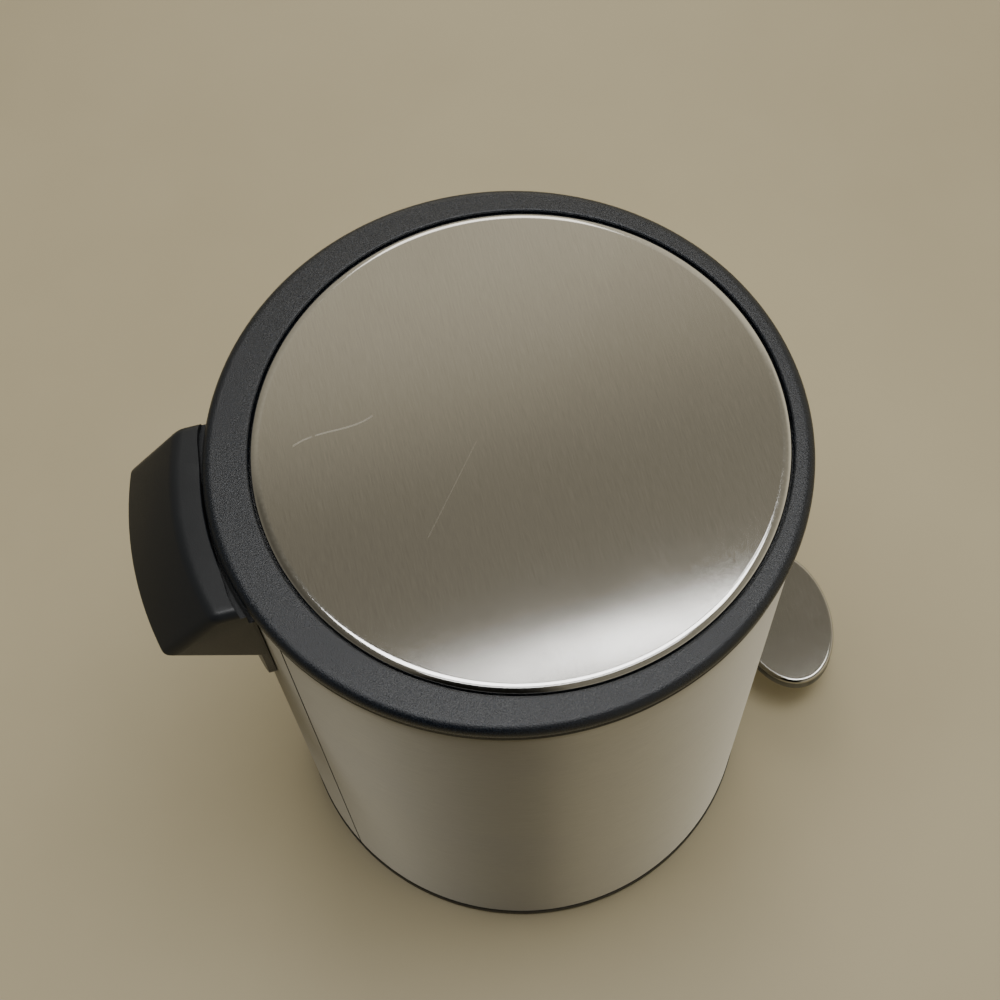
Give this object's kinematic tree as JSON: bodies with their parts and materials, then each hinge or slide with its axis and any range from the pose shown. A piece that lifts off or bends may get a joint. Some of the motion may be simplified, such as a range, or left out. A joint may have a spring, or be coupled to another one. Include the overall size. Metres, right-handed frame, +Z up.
{
  "type": "pedal trash can",
  "caption": "Small round pedal bin with a steel body, steel disc lid in a black plastic ring, rear carrying grip, inner bucket and a foot pedal that lifts the lid.",
  "frame": {"origin": "On the floor, under the middle of the whole object's bounding box. The body's centre line stands at x = 0, y = +9.05 mm.", "axes": "+Z is up. -Y points to the pedal (the front), +Y to the hinge and the carrying grip (the back), +X to the right seen from the front."},
  "size_m": [0.21, 0.2888, 0.2753],
  "materials": {
    "brushed_steel": "brushed stainless sheet",
    "bright_steel": "bright zinc or nickel plate",
    "grained_black_plastic": "fine spark-eroded grain",
    "satin_black_plastic": "satin moulded",
    "dark_grey_plastic": "satin moulded",
    "black_rubber": "matt rubber"
  },
  "bodies": {
    "body": {"axle_clip_left": "bright_steel", "axle_clip_right": "bright_steel", "base_pan": "satin_black_plastic", "bracket_screw_1": "bright_steel", "bracket_screw_2": "bright_steel", "foot_pad_1": "black_rubber", "foot_pad_2": "black_rubber", "foot_pad_3": "black_rubber", "foot_pad_4": "black_rubber", "grip_screw_left": "bright_steel", "grip_screw_right": "bright_steel", "hinge_bracket": "satin_black_plastic", "hinge_pin": "bright_steel", "outer_shell": "brushed_steel", "pedal_axle": "bright_steel", "pedal_bracket": "satin_black_plastic", "rear_grip": "satin_black_plastic", "rod_guide": "satin_black_plastic", "top_collar": "satin_black_plastic"},
    "lid": {"lever_screw_1": "bright_steel", "lever_screw_2": "bright_steel", "lid_bumper_1": "black_rubber", "lid_bumper_2": "black_rubber", "lid_bumper_3": "black_rubber", "lid_disc": "brushed_steel", "lid_lever": "bright_steel", "lid_liner": "dark_grey_plastic", "lid_ring": "grained_black_plastic", "liner_screw_1": "bright_steel", "liner_screw_2": "bright_steel", "liner_screw_3": "bright_steel", "liner_screw_4": "bright_steel"},
    "pedal": {"pad_nut_1": "bright_steel", "pad_nut_2": "bright_steel", "pedal_lever": "bright_steel", "pedal_pad": "brushed_steel"},
    "push_rod": {"push_rod": "bright_steel", "rod_clip_low": "dark_grey_plastic", "rod_clip_top": "dark_grey_plastic"},
    "bucket": {"inner_bucket": "dark_grey_plastic"},
    "bail": {"bail_wire": "bright_steel", "bail_grip": "dark_grey_plastic"}
  },
  "joints": [
    {"name": "lid_hinge", "type": "hinge", "parent": "body", "child": "lid", "pos_m": [0, 0.10655, 0.269], "axis": [-1, 0, 0], "range_deg": [0, 75]},
    {"name": "pedal_pivot", "type": "hinge", "parent": "body", "child": "pedal", "pos_m": [0, -0.00295, 0.0145], "axis": [1, 0, 0], "range_deg": [0, 7.87]},
    {"name": "push_rod_slide", "type": "slide", "parent": "body", "child": "push_rod", "axis": [0, 0, 1], "range_m": [0, 0.01382]},
    {"name": "bucket_lift", "type": "slide", "parent": "body", "child": "bucket", "axis": [0, 0, 1], "range_m": [0, 0.008]},
    {"name": "bail_swing", "type": "hinge", "parent": "bucket", "child": "bail", "pos_m": [0, 0.00905, 0.247], "axis": [-1, 0, 0], "range_deg": [0, 4]}
  ],
  "couplings": [
    {"joint": "pedal_pivot", "follows": "lid_hinge", "ratio": 0.10483},
    {"joint": "push_rod_slide", "follows": "lid_hinge", "m_per_rad": 0.010552}
  ]
}
